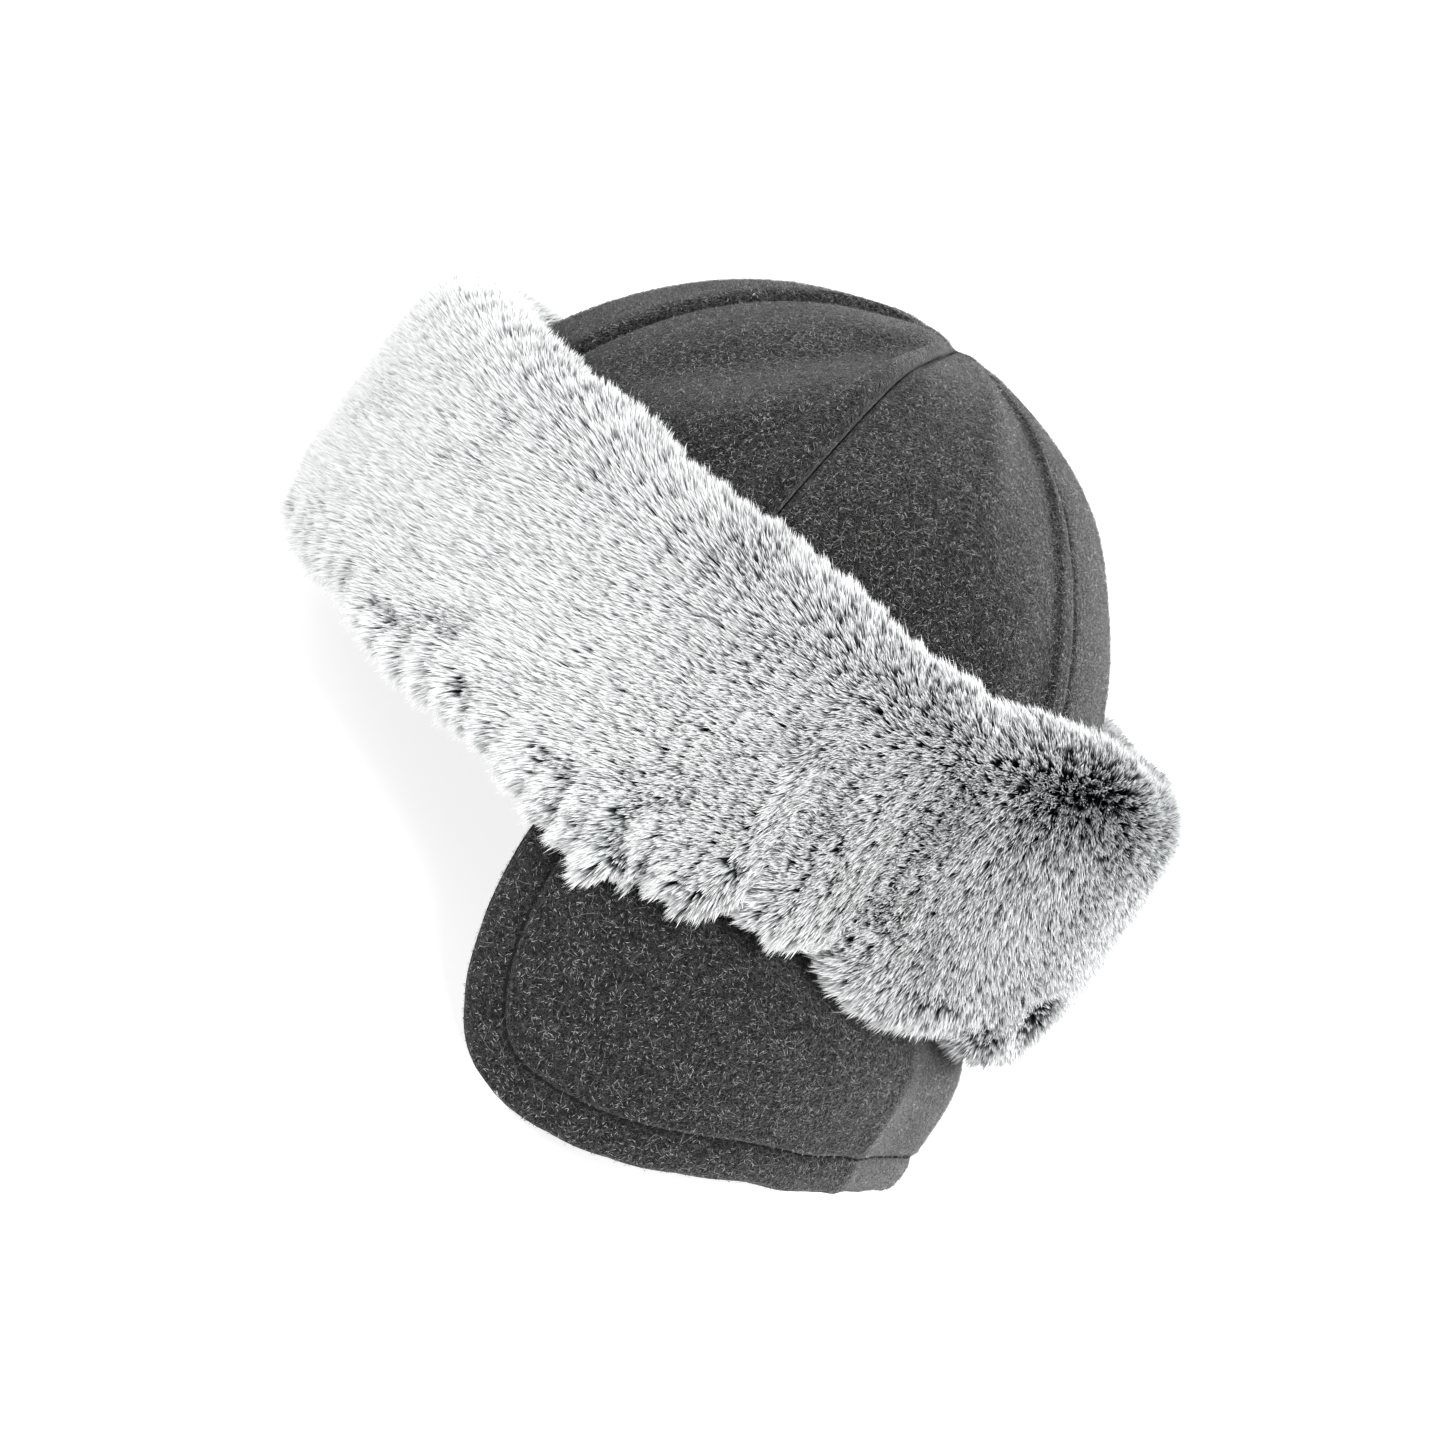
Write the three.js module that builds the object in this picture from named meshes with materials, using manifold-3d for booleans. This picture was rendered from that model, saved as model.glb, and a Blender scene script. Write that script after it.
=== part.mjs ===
// A winter cap: a crown of six felt gores, a deep fur cuff round it and a steep felt-covered peak.
// Millimetres, +Z up. The cap is shaped about its rim plane, with the front at -Y and the wearer's
// right at -X. It is then tipped back to lie as it does on a table: on the peak's two corners and
// the back of the cuff. Angles round the cap run from the front towards +X.
import * as THREE from "three";
import { mergeVertices } from "three/addons/utils/BufferGeometryUtils.js";
import Module from "manifold-3d";

// Crown
const CROWN_HALF_WIDTH = 83;
const CROWN_HALF_LENGTH = 102;
const CROWN_WALL_HEIGHT = 36;
const CROWN_DOME_HEIGHT = 97.5;
const DOME_ROUNDNESS = 0.52;
const FELT_THICKNESS = 2.5;
const SEAM_ANGLES = [0, 66, 120, 180, 240, 294, 360];
const GORE_PUFF = 1.6;
const GORE_PUFF_SQUARENESS = 2.6;
const PUFF_START_HEIGHT = 40;
const PUFF_FULL_HEIGHT = 90;
const SEAM_GAP = 0.36;
const GORE_COLUMNS = 9;
const GORE_ROWS = 14;

// Fur cuff
const BAND_TOP = 79;
const BAND_BOTTOM = -4;
const FUR_DEPTH = 23;
const BACKING_DEPTH = 19.5;
const FUR_EDGE_RISE = 3;
const EAR_DIP = 11;
const EAR_ANGLE = 57;
const EAR_SPREAD = 17;
const BAND_CLEARANCE = 0.7;
const BAND_STATIONS = 56;
const LOCK_ROWS = 6;
const LOCKS_PER_ROW = 24;
const LOCK_LENGTH = 28;
const LOCK_WIDTH = 16;
const LOCK_HEIGHT = 5;
const LOCK_SWEEP = 0.93;
const FRINGE_LOCKS = 34;
const FRINGE_DROP = 8;

// Peak
const PEAK_HALF_ANGLE = 66;
const PEAK_FRONT_DROP = 45;
const PEAK_RIGHT_CORNER = { drop: 68.1, place: 0.705, lateness: 1.6 };
const PEAK_LEFT_CORNER = { drop: 61.4, place: 0.915, lateness: 10 };
const PEAK_CORNER_ROUNDNESS = 2.5;
const PEAK_SIDE_FRACTION = 0.985;
const PEAK_FRONT_FLARE = 17.1;
const PEAK_SIDE_FLARE = 9.5;
const PEAK_FLARE_DEPTH = 6.5;
const PEAK_THICKNESS = 3.6;
const PEAK_TOP = -0.45;
const PEAK_COLUMNS = 34;
const PEAK_ROWS = 8;

// How the cap lies
const REST_TILT = 19.5;
const REST_SHIFT = -5.65;
const REST_LIFT = 39.3;

const degrees = Math.PI / 180;
const clamp = (value, low, high) => Math.min(high, Math.max(low, value));
const mix = (a, b, k) => a + (b - a) * k;

function smoothStep(low, high, value) {
  const k = clamp((value - low) / (high - low), 0, 1);
  return k * k * (3 - 2 * k);
}

// A point n mm out from the crown's upright wall, at the angle t and the height z.
function ringPoint(t, n, z) {
  return new THREE.Vector3(
    (CROWN_HALF_WIDTH + n) * Math.sin(t),
    -(CROWN_HALF_LENGTH + n) * Math.cos(t),
    z,
  );
}

// Where the angle t lies between the two seams beside it, from 0 to 1.
function shareAcrossGore(t) {
  const turn = t / degrees / 360;
  const angle = (turn - Math.floor(turn)) * 360;
  const next = SEAM_ANGLES.findIndex((seam) => seam > angle);
  const last = SEAM_ANGLES[next - 1];
  return (angle - last) / (SEAM_ANGLES[next] - last);
}

// How far the middle of a gore stands proud of its seams.
function gorePuff(t, height) {
  const fromMiddle = Math.abs(2 * shareAcrossGore(t) - 1);
  const shown = smoothStep(PUFF_START_HEIGHT, PUFF_FULL_HEIGHT, height);
  return GORE_PUFF * shown * (1 - fromMiddle ** GORE_PUFF_SQUARENESS);
}

// The share of the wall's girth that the dome keeps at the height h, from 0 at its foot to 1.
const domeGirth = (h) => (1 - h * h) ** DOME_ROUNDNESS;

// A point of the crown, "inside" mm in from its outer face. v runs from the rim to the apex.
function crownPoint(t, v, inside) {
  const wallShare = 0.24;
  const puff = (height) => gorePuff(t, height) - inside;
  if (v <= wallShare) {
    const z = (v / wallShare) * CROWN_WALL_HEIGHT;
    return ringPoint(t, puff(z), z);
  }
  const turn = ((v - wallShare) / (1 - wallShare)) * 0.5 * Math.PI;
  const h = Math.sin(turn);
  const girth = domeGirth(h);
  const height = CROWN_WALL_HEIGHT + CROWN_DOME_HEIGHT * h;
  const proud = puff(height);
  return new THREE.Vector3(
    (CROWN_HALF_WIDTH + proud) * girth * Math.sin(t),
    -(CROWN_HALF_LENGTH + proud) * girth * Math.cos(t),
    height + proud * h ** 3,
  );
}

// A mesh from a list of points and a list of triangles, with doubled points joined.
function closedGeometry(points, triangles) {
  const flat = new Float32Array(points.flatMap((p) => [p.x, p.y, p.z]));
  const geometry = new THREE.BufferGeometry();
  geometry.setAttribute("position", new THREE.BufferAttribute(flat, 3));
  geometry.setIndex(triangles);
  return mergeVertices(geometry, 1e-4);
}

// A sheet of cloth: an outer grid of points, an inner grid behind it and a closed edge round both.
// The outer grid's rows run up while its columns run anticlockwise, seen from outside.
function clothSheet(outer, inner) {
  const rows = outer.length;
  const columns = outer[0].length;
  const points = [...outer.flat(), ...inner.flat()];
  const at = (layer, row, column) => layer * rows * columns + row * columns + column;
  const triangles = [];
  const quad = (a, b, c, d) => triangles.push(a, b, c, a, c, d);
  for (let i = 0; i < rows - 1; i++) {
    for (let j = 0; j < columns - 1; j++) {
      quad(at(0, i, j), at(0, i, j + 1), at(0, i + 1, j + 1), at(0, i + 1, j));
      quad(at(1, i, j), at(1, i + 1, j), at(1, i + 1, j + 1), at(1, i, j + 1));
    }
  }
  for (let j = 0; j < columns - 1; j++) {
    quad(at(0, 0, j), at(1, 0, j), at(1, 0, j + 1), at(0, 0, j + 1));
    quad(at(0, rows - 1, j), at(0, rows - 1, j + 1), at(1, rows - 1, j + 1), at(1, rows - 1, j));
  }
  for (let i = 0; i < rows - 1; i++) {
    quad(at(0, i, 0), at(0, i + 1, 0), at(1, i + 1, 0), at(1, i, 0));
    const last = columns - 1;
    quad(at(0, i, last), at(1, i, last), at(1, i + 1, last), at(0, i + 1, last));
  }
  return closedGeometry(points, triangles);
}

// One gore, between two seams, with half the seam gap left at each side.
function gorePanel(index) {
  const from = SEAM_ANGLES[index] * degrees;
  const to = SEAM_ANGLES[index + 1] * degrees;
  const face = (inside) => {
    const grid = [];
    for (let i = 0; i <= GORE_ROWS; i++) {
      const v = (i / GORE_ROWS) * 0.994;
      const row = [];
      for (let j = 0; j <= GORE_COLUMNS; j++) {
        const share = 0.5 - 0.5 * Math.cos((Math.PI * j) / GORE_COLUMNS);
        const even = j / GORE_COLUMNS;
        const middle = mix(from, to, mix(even, share, 0.6));
        const reach = crownPoint(middle, v, inside);
        const girth = Math.hypot(reach.x, reach.y);
        const trim = Math.min(SEAM_GAP / 2 / girth, 0.3 * (to - from));
        const t = clamp(middle, from + trim, to - trim);
        row.push(crownPoint(t, v, inside));
      }
      grid.push(row);
    }
    return grid;
  };
  return clothSheet(face(0), face(FELT_THICKNESS));
}

// How much lower the cuff's edge hangs over each ear.
function earDip(t) {
  const angle = Math.abs(Math.atan2(Math.sin(t), Math.cos(t))) / degrees;
  return EAR_DIP * Math.exp(-(((angle - EAR_ANGLE) / EAR_SPREAD) ** 2));
}

// How far the peak's outer face stands out from the crown's wall line, "drop" mm below its top.
function peakFlare(t, drop) {
  const angle = Math.abs(Math.atan2(Math.sin(t), Math.cos(t))) / degrees;
  const fade = 1 - smoothStep(PEAK_HALF_ANGLE, PEAK_HALF_ANGLE + 14, angle);
  const full = PEAK_FRONT_FLARE * Math.cos(t) ** 2 + PEAK_SIDE_FLARE * Math.sin(t) ** 2;
  return full * fade * (1 - Math.exp(-Math.max(drop, 0) / PEAK_FLARE_DEPTH));
}

// The cuff's section at the angle t, as points [out, up], anticlockwise with the wall on the left.
function bandSection(t) {
  const low = BAND_BOTTOM + FUR_EDGE_RISE - earDip(t);
  const section = [];
  for (const z of [74, 64, 52, 40, 20, 1.5]) {
    const h = Math.max(0, (z - CROWN_WALL_HEIGHT) / CROWN_DOME_HEIGHT);
    const reach = Math.hypot(CROWN_HALF_WIDTH * Math.sin(t), CROWN_HALF_LENGTH * Math.cos(t));
    const taper = (1 - domeGirth(h)) * reach;
    section.push([gorePuff(t, z) - taper + BAND_CLEARANCE, z]);
  }
  for (const share of [0.33, 0.66, 1]) {
    const z = mix(0, low + 1, share);
    section.push([peakFlare(t, PEAK_TOP - z + 0.6) + 1.2, z]);
  }
  section.push([BACKING_DEPTH - 5, low]);
  section.push([BACKING_DEPTH - 1.2, low + 3]);
  section.push([BACKING_DEPTH, low + 9]);
  section.push([BACKING_DEPTH, 30]);
  section.push([BACKING_DEPTH, BAND_TOP - 17]);
  section.push([BACKING_DEPTH - 2.5, BAND_TOP - 8]);
  section.push([BACKING_DEPTH - 8, BAND_TOP - FUR_EDGE_RISE]);
  section.push([1, BAND_TOP - FUR_EDGE_RISE]);
  return section;
}

// The cuff's backing: its section carried round the crown as one closed ring.
function bandBacking() {
  const points = [];
  const triangles = [];
  const around = BAND_STATIONS;
  const size = bandSection(0).length;
  for (let i = 0; i < around; i++) {
    const t = (i / around) * 2 * Math.PI;
    for (const [n, z] of bandSection(t)) points.push(ringPoint(t, n, z));
  }
  for (let i = 0; i < around; i++) {
    for (let j = 0; j < size; j++) {
      const a = i * size + j;
      const b = i * size + ((j + 1) % size);
      const c = ((i + 1) % around) * size + ((j + 1) % size);
      const d = ((i + 1) % around) * size + j;
      triangles.push(a, c, b, a, d, c);
    }
  }
  return closedGeometry(points, triangles);
}

// A leaf-shaped lock with four sides, from a root inside the backing to a tip on the fur's face.
function lockGeometry(root, tip, side, out) {
  const waist = root.clone().lerp(tip, 0.45);
  const half = side.clone().multiplyScalar(LOCK_WIDTH / 2);
  const top = waist.clone().addScaledVector(out, LOCK_HEIGHT * 0.75);
  const under = waist.clone().addScaledVector(out, -LOCK_HEIGHT);
  const left = waist.clone().add(half);
  const right = waist.clone().sub(half);
  left.addScaledVector(out, LOCK_HEIGHT * 0.2);
  right.addScaledVector(out, LOCK_HEIGHT * 0.2);
  const points = [root, tip, top, left, under, right];
  const ring = [2, 3, 4, 5];
  const triangles = [];
  for (let k = 0; k < 4; k++) {
    const a = ring[k];
    const b = ring[(k + 1) % 4];
    triangles.push(0, b, a, 1, a, b);
  }
  return closedGeometry(points, triangles);
}

// The locks on the cuff's face, swept round the cap towards smaller angles, and its lower fringe.
function furLocks() {
  const locks = [];
  const top = BAND_TOP - 9;
  for (let row = 0; row < LOCK_ROWS; row++) {
    for (let i = 0; i < LOCKS_PER_ROW; i++) {
      const t = ((i + (row % 2) * 0.5 + 0.17 * Math.sin(5 * row + 3 * i)) / LOCKS_PER_ROW) * 2 * Math.PI;
      const low = BAND_BOTTOM + 7 - earDip(t);
      const z = mix(low, top, row / (LOCK_ROWS - 1)) + 1.5 * Math.sin(7 * i + 2 * row);
      const girth = Math.hypot(
        (CROWN_HALF_WIDTH + BACKING_DEPTH) * Math.cos(t),
        (CROWN_HALF_LENGTH + BACKING_DEPTH) * Math.sin(t),
      );
      const rise = mix(-0.35, 0.3, row / (LOCK_ROWS - 1));
      const sweep = LOCK_LENGTH * LOCK_SWEEP;
      const topRow = row === LOCK_ROWS - 1;
      const out = topRow ? BACKING_DEPTH - 1.5 : FUR_DEPTH - 1;
      const root = ringPoint(t, BACKING_DEPTH - 4.5, z);
      const tip = ringPoint(t - sweep / girth, out, Math.min(z + rise * LOCK_LENGTH, BAND_TOP - 1));
      const outward = new THREE.Vector3(Math.sin(t), -Math.cos(t), 0);
      locks.push(lockGeometry(root, tip, new THREE.Vector3(0, 0, 1), outward));
    }
  }
  for (let i = 0; i < FRINGE_LOCKS; i++) {
    const t = (i / FRINGE_LOCKS) * 2 * Math.PI;
    const low = BAND_BOTTOM + FUR_EDGE_RISE - earDip(t);
    const sweep = 12 / CROWN_HALF_LENGTH;
    const root = ringPoint(t, BACKING_DEPTH - 5, low + 7);
    const tip = ringPoint(t - sweep, BACKING_DEPTH, low - FRINGE_DROP + 2 * Math.sin(4 * i));
    const outward = new THREE.Vector3(Math.sin(t), -Math.cos(t), 0);
    const along = new THREE.Vector3(Math.cos(t), Math.sin(t), 0);
    locks.push(lockGeometry(root, tip, along.negate(), outward));
  }
  return locks;
}

// How far the peak hangs down, s from -1 at the wearer's right end to 1 at the left.
function peakDrop(s) {
  const across = Math.abs(s);
  const corner = s < 0 ? PEAK_RIGHT_CORNER : PEAK_LEFT_CORNER;
  const toCorner = clamp(across / corner.place, 0, 1);
  const rise = Math.sin(0.5 * Math.PI * toCorner) ** corner.lateness;
  const full = mix(PEAK_FRONT_DROP, corner.drop, rise);
  const reach = (across - corner.place) / (1 - corner.place);
  const k = clamp(reach, 0, 1) * PEAK_SIDE_FRACTION;
  return full * Math.sqrt(1 - k ** PEAK_CORNER_ROUNDNESS);
}

// A point of the peak's outer face: s across it, f from its sewn top edge to its free edge.
function peakPoint(s, f) {
  const t = s * PEAK_HALF_ANGLE * degrees;
  const drop = peakDrop(s) * f;
  return ringPoint(t, peakFlare(t, drop), PEAK_TOP - drop);
}

// The peak: two layers of felt over a board, as one sheet with a rounded free edge.
function peakGeometry() {
  const outer = [];
  const inner = [];
  for (let i = 0; i <= PEAK_ROWS; i++) {
    const f = 1 - (i / PEAK_ROWS) ** 1.15;
    const outerRow = [];
    const innerRow = [];
    for (let j = 0; j <= PEAK_COLUMNS; j++) {
      const s = Math.sin(0.5 * Math.PI * ((2 * j) / PEAK_COLUMNS - 1));
      const point = peakPoint(s, f);
      const t = s * PEAK_HALF_ANGLE * degrees;
      const radial = new THREE.Vector3(Math.sin(t), -Math.cos(t), 0);
      const drop = peakDrop(s) * f;
      const slope = peakFlare(t, drop + 0.5) - peakFlare(t, drop - 0.5);
      const normal = radial.clone().add(new THREE.Vector3(0, 0, slope)).normalize();
      outerRow.push(point);
      innerRow.push(point.clone().addScaledVector(normal, -PEAK_THICKNESS));
    }
    outer.push(outerRow);
    inner.push(innerRow);
  }
  return clothSheet(outer, inner);
}

const wasm = await Module();
wasm.setup();

// A closed mesh as a solid that can be joined and cut.
function toSolid(geometry) {
  return new wasm.Manifold(
    new wasm.Mesh({
      numProp: 3,
      vertProperties: geometry.attributes.position.array,
      triVerts: new Uint32Array(geometry.index.array),
    }),
  );
}

function fromSolid(solid) {
  const mesh = solid.getMesh();
  const geometry = new THREE.BufferGeometry();
  geometry.setAttribute("position", new THREE.BufferAttribute(mesh.vertProperties, 3));
  geometry.setIndex(new THREE.BufferAttribute(mesh.triVerts, 1));
  return geometry;
}

// The tilt and shift that bring the cap from its rim plane to how it lies.
const restPlace = new THREE.Matrix4()
  .makeTranslation(0, REST_SHIFT, REST_LIFT)
  .multiply(new THREE.Matrix4().makeRotationX(-REST_TILT * degrees));

// Whatever would reach below the table is pressed flat on it.
function pressedFlat(geometry) {
  const slab = new THREE.BoxGeometry(400, 400, 60);
  slab.deleteAttribute("normal");
  slab.deleteAttribute("uv");
  slab.translate(0, 0, -30);
  const table = toSolid(mergeVertices(slab));
  return toSolid(geometry.applyMatrix4(restPlace)).subtract(table);
}

const wool = () =>
  new THREE.MeshStandardMaterial({ color: 0x3b3b3c, roughness: 0.95, metalness: 0 });
const fur = () =>
  new THREE.MeshStandardMaterial({ color: 0xa9adb0, roughness: 0.9, metalness: 0 });

const cap = new THREE.Group();

function addPart(name, geometry, material) {
  const plain = geometry.toNonIndexed();
  plain.computeVertexNormals();
  const mesh = new THREE.Mesh(plain, material);
  mesh.name = name;
  cap.add(mesh);
}

for (let index = 0; index < SEAM_ANGLES.length - 1; index++) {
  const panel = gorePanel(index).applyMatrix4(restPlace);
  addPart(`crown_panel_${index + 1}`, panel, wool());
}

const locks = furLocks().map(toSolid);
const band = locks.reduce((joined, lock) => joined.add(lock), toSolid(bandBacking()));
addPart("fur_band", fromSolid(pressedFlat(fromSolid(band))), fur());

addPart("peak", fromSolid(pressedFlat(peakGeometry())), wool());

export default cap;
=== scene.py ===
import math
import bpy
import numpy as np
from mathutils import Matrix, Vector


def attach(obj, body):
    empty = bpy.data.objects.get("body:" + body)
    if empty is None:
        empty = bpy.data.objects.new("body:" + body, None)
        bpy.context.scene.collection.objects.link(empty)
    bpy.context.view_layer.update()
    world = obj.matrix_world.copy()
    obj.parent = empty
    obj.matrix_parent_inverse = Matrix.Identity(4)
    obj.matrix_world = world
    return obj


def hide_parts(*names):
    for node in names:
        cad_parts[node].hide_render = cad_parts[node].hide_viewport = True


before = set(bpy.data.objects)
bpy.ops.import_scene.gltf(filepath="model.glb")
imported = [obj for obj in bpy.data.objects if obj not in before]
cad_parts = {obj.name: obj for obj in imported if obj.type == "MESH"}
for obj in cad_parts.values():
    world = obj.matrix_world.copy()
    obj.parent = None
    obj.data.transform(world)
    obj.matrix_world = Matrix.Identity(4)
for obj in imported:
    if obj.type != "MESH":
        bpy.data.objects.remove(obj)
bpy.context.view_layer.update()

# The cap is shaped in millimetres about its rim plane, with the front at -Y and the wearer's right
# at -X, and then laid down as it rests. Angles round it, named t, run from the front towards +X.
MM = 0.001

# Noise: the length of its table, and large numbers that scatter the cells over the table
NOISE_TABLE = 4096
HASH_X = 73856093
HASH_Y = 19349663
HASH_Z = 83492791

# Crown
CROWN_HALF_WIDTH = 83
CROWN_HALF_LENGTH = 102
CROWN_WALL_HEIGHT = 36
CROWN_WALL_SHARE = 0.24
CROWN_DOME_HEIGHT = 97.5
DOME_ROUNDNESS = 0.52
FELT_THICKNESS = 2.5
FELT_WAVE_SIZE = 26
FELT_WAVE_HEIGHT = 0.5
SEAM_ANGLES = [0, 66, 120, 180, 240, 294, 360]
GORE_PUFF = 1.6
GORE_PUFF_SQUARENESS = 2.6
PUFF_START_HEIGHT = 40
PUFF_FULL_HEIGHT = 90
SEAM_GAP = 0.6
SEAM_GAP_INSIDE = 0.15
SEAM_GROOVE_DEPTH = 2.1
SEAM_GROOVE_WIDTH = 1.6
SEAM_BEAD_HEIGHT = 0.45
SEAM_BEAD_PLACE = -3.2
SEAM_BEAD_WIDTH = 2.0
ALLOWANCE_WIDTH = 8.5
ALLOWANCE_HEIGHT = 1.8
GORE_COLUMNS = 48
GORE_ROWS = 60
GORE_CROWDING = 0.65
GORE_TOP = 0.9994

# How far the crown's soft folds stand out or sink in, in millimetres
RIDGE_HEIGHT = 3.4
VALLEY_DEPTH = 3.6
SEAM_VALLEY_DEPTH = 2.4
MIDDLE_FOLD_HEIGHT = 2.2
SHOULDER_SWELL = 2.6
SHOULDER_SINK = 1.6
BACK_SWELL = 1.9
BACK_SINK = 0.95
APEX_DIMPLE = 1.2

# Fur cuff
BAND_TOP = 79
BAND_BOTTOM = -4
FUR_EDGE_RISE = 3
EAR_DIP = 11
EAR_ANGLE = 57
EAR_SPREAD = 17
ROOT_DEPTH = 18.5
ROOT_BELOW_TOP = 5.2
ROOT_ABOVE_BOTTOM = 3.0
SCALLOP_HEIGHT = 1.6
TOP_RIPPLE = 0.7
FRONT_RISE = 4.2
BACK_FULLNESS = 1.3
SIDE_FULLNESS = 1.3
WALL_CLEARANCE = 1.0
WALL_HEIGHTS = (2, 20, 40, 52, 64)
CUFF_RADIUS = 112
CUFF_MM_PER_DEGREE = 2
SKIN_LENGTH = 125
BAND_STATIONS = 180

# The pile on the cuff. Leans are in degrees, and spreads of them in radians.
CLUMP_SPACING = 0.95
CLUMP_SCATTER = 0.28
CLUMP_SPREAD = 0.42
HAIRS_PER_CLUMP = 5
HAIR_LENGTH = 9.0
HAIR_WIDTH = 0.47
HAIR_WIDEST = 0.7
GUARD_HAIRS = 26000
GUARD_HAIR_LENGTH = 10.2
GUARD_HAIR_WIDTH = 0.2
GUARD_HAIR_SPREAD = 0.3
GUARD_HAIR_WIDEST = 0.62
FUR_LEAN = 45
TURNED_OVER_LEAN = 11
LEAN_SPREAD = 0.07
LENGTH_SPREAD = (0.82, 1.06)
GATHER_SPREAD = (0.55, 0.98)
SHADE_SPREAD = 0.14
ROOT_SINK = 0.8
HAIR_BEND = 0.2
ROW_PITCH = 4.8
TUFT_PITCH = 8.5
TUFT_SIZE = 2.1
FUR_SECTORS = 5

# The parting and the hollow in the pile: the angle in degrees, the place down the skin from 0 to 1
PARTING_ANGLE = 3
PARTING_PLACE = 0.2
PARTING_SIZE = 22
HOLLOW_ANGLE = 17
HOLLOW_PLACE = 0.74
HOLLOW_SIZE = 7

# Hairs that lie along the table, in metres
LOWEST_HAIR = 0.0004
LYING_LAYER = 0.0015
LYING_RIPPLES = 9000
LYING_SHIFT = 0.8

# Where the cuff's edges rise or hang: the angle, how wide in degrees, and the rise
TOP_EDGE_LOCKS = [
    (-118, 12, 3.0), (-92, 7, 1.8), (-88, 20, 1.8), (-72, 5, 1.6), (-60, 5, 1.4),
    (-52, 6, 2.4), (-40, 8, -1.0), (-29, 4, 0.6), (-23, 5, -1.2),
]
LOW_EDGE_LOCKS = [
    (-38, 22, 2.6), (-9, 8, -1.5), (-97, 18, -2.2), (-60, 4, 2.0), (-55, 2.5, -1.4), (-50, 4, 3.6),
    (-43, 3, -1.2), (-38.5, 3, 4.2), (-35, 3, -1.2), (-25.5, 4, 4.8), (3, 7, 4.6),
]

# Peak
PEAK_HALF_ANGLE = 66
PEAK_FRONT_DROP = 45
PEAK_RIGHT_CORNER = {"drop": 68.1, "place": 0.705, "lateness": 1.6}
PEAK_LEFT_CORNER = {"drop": 61.4, "place": 0.915, "lateness": 10}
PEAK_CORNER_ROUNDNESS = 2.5
PEAK_SIDE_FRACTION = 0.985
PEAK_FRONT_FLARE = 17.1
PEAK_SIDE_FLARE = 9.5
PEAK_FLARE_DEPTH = 6.5
PEAK_FLARE_FADE = 14
PEAK_FRONT_SAG = 2.5
PEAK_FOLD_ANGLE = 1.5
PEAK_FOLD_DEPTH = 3.4
PEAK_LIP_HEIGHT = 0.7
PEAK_THICKNESS = 3.6
PEAK_TOP = -0.45
PEAK_COLUMNS = 210
PEAK_ROWS = 84
EDGE_ROUNDING = 0.9
STITCH_INSET = 10
STITCH_GROOVE = 1.2
STITCH_GROOVE_WIDTH = 0.95
STITCH_LENGTH = 2.8
STITCH_PITCH = 3.3
STITCH_SINK = 0.8
THREAD_RADIUS = 0.32
THREAD_SIDES = 6
THREAD_RINGS = 5
CUSHION_HEIGHT = 0.45
CUSHION_WIDTH = 3.0
NAP_CLEARANCE = 0.9

# Wool fibres: how many, and their sizes
CROWN_NAP = 150000
PEAK_NAP = 40000
NAP_SHORTEST = 0.45
NAP_LONGEST = 1.5
NAP_WIDTH = 0.13
NAP_START = 0.38
STRAY_SHARE = 90
STRAY_SHORTEST = 1.5
STRAY_LONGEST = 5
STRAY_WIDTH = 0.09
STRAY_LIFT = 0.4

# How the cap lies
REST_TILT = 19.5
REST_SHIFT = -5.65
REST_LIFT = 39.3

# The camera, about the cap's own frame
CAMERA_SIDE = 52.9
CAMERA_RISE = 7.4
CAMERA_ROLL = 36.0
CAMERA_DISTANCE = 1100
CAMERA_AIM_RIGHT = 6.7
CAMERA_AIM_UP = 21.9
FRAME_WIDTH = 368.6
SENSOR_WIDTH = 36

# Light
SKY_LIGHT = 0.47
FLOOR_GLOW = 0.85
SKY_SHOWN = 1.05
FRONT_SUN = 2.8
LEFT_SUN = 0.8
RIGHT_SUN = 5.6

rng = np.random.default_rng(7)


def smooth_step(low, high, value):
    """0 up to low, 1 from high on, and a smooth rise between them."""
    k = np.clip((np.asarray(value, float) - low) / (high - low), 0, 1)
    return k * k * (3 - 2 * k)


def bump_at(value, centre, width):
    """A smooth hump, 1 high at its centre."""
    return np.exp(-(((value - centre) / width) ** 2))


def wrapped_degrees(t):
    """An angle in degrees, from -180 to 180."""
    return np.degrees(np.arctan2(np.sin(t), np.cos(t)))


def unit(vectors):
    """The same directions, 1 long."""
    return vectors / np.maximum(np.linalg.norm(vectors, axis=-1, keepdims=True), 1e-9)


def laid_down(points):
    """Millimetres in the cap's own frame to metres in the frame that it lies in."""
    p = np.asarray(points, float)
    c, s = math.cos(math.radians(REST_TILT)), math.sin(math.radians(REST_TILT))
    y = p[..., 1] * c + p[..., 2] * s + REST_SHIFT
    z = p[..., 2] * c - p[..., 1] * s + REST_LIFT
    return np.stack([p[..., 0], y, z], -1) * MM


def ring_point(t, n, z):
    """A point n mm out from the crown's upright wall."""
    t, n, z = np.broadcast_arrays(t, n, z)
    x = (CROWN_HALF_WIDTH + n) * np.sin(t)
    y = -(CROWN_HALF_LENGTH + n) * np.cos(t)
    return np.stack([x, y, z], -1)


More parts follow.
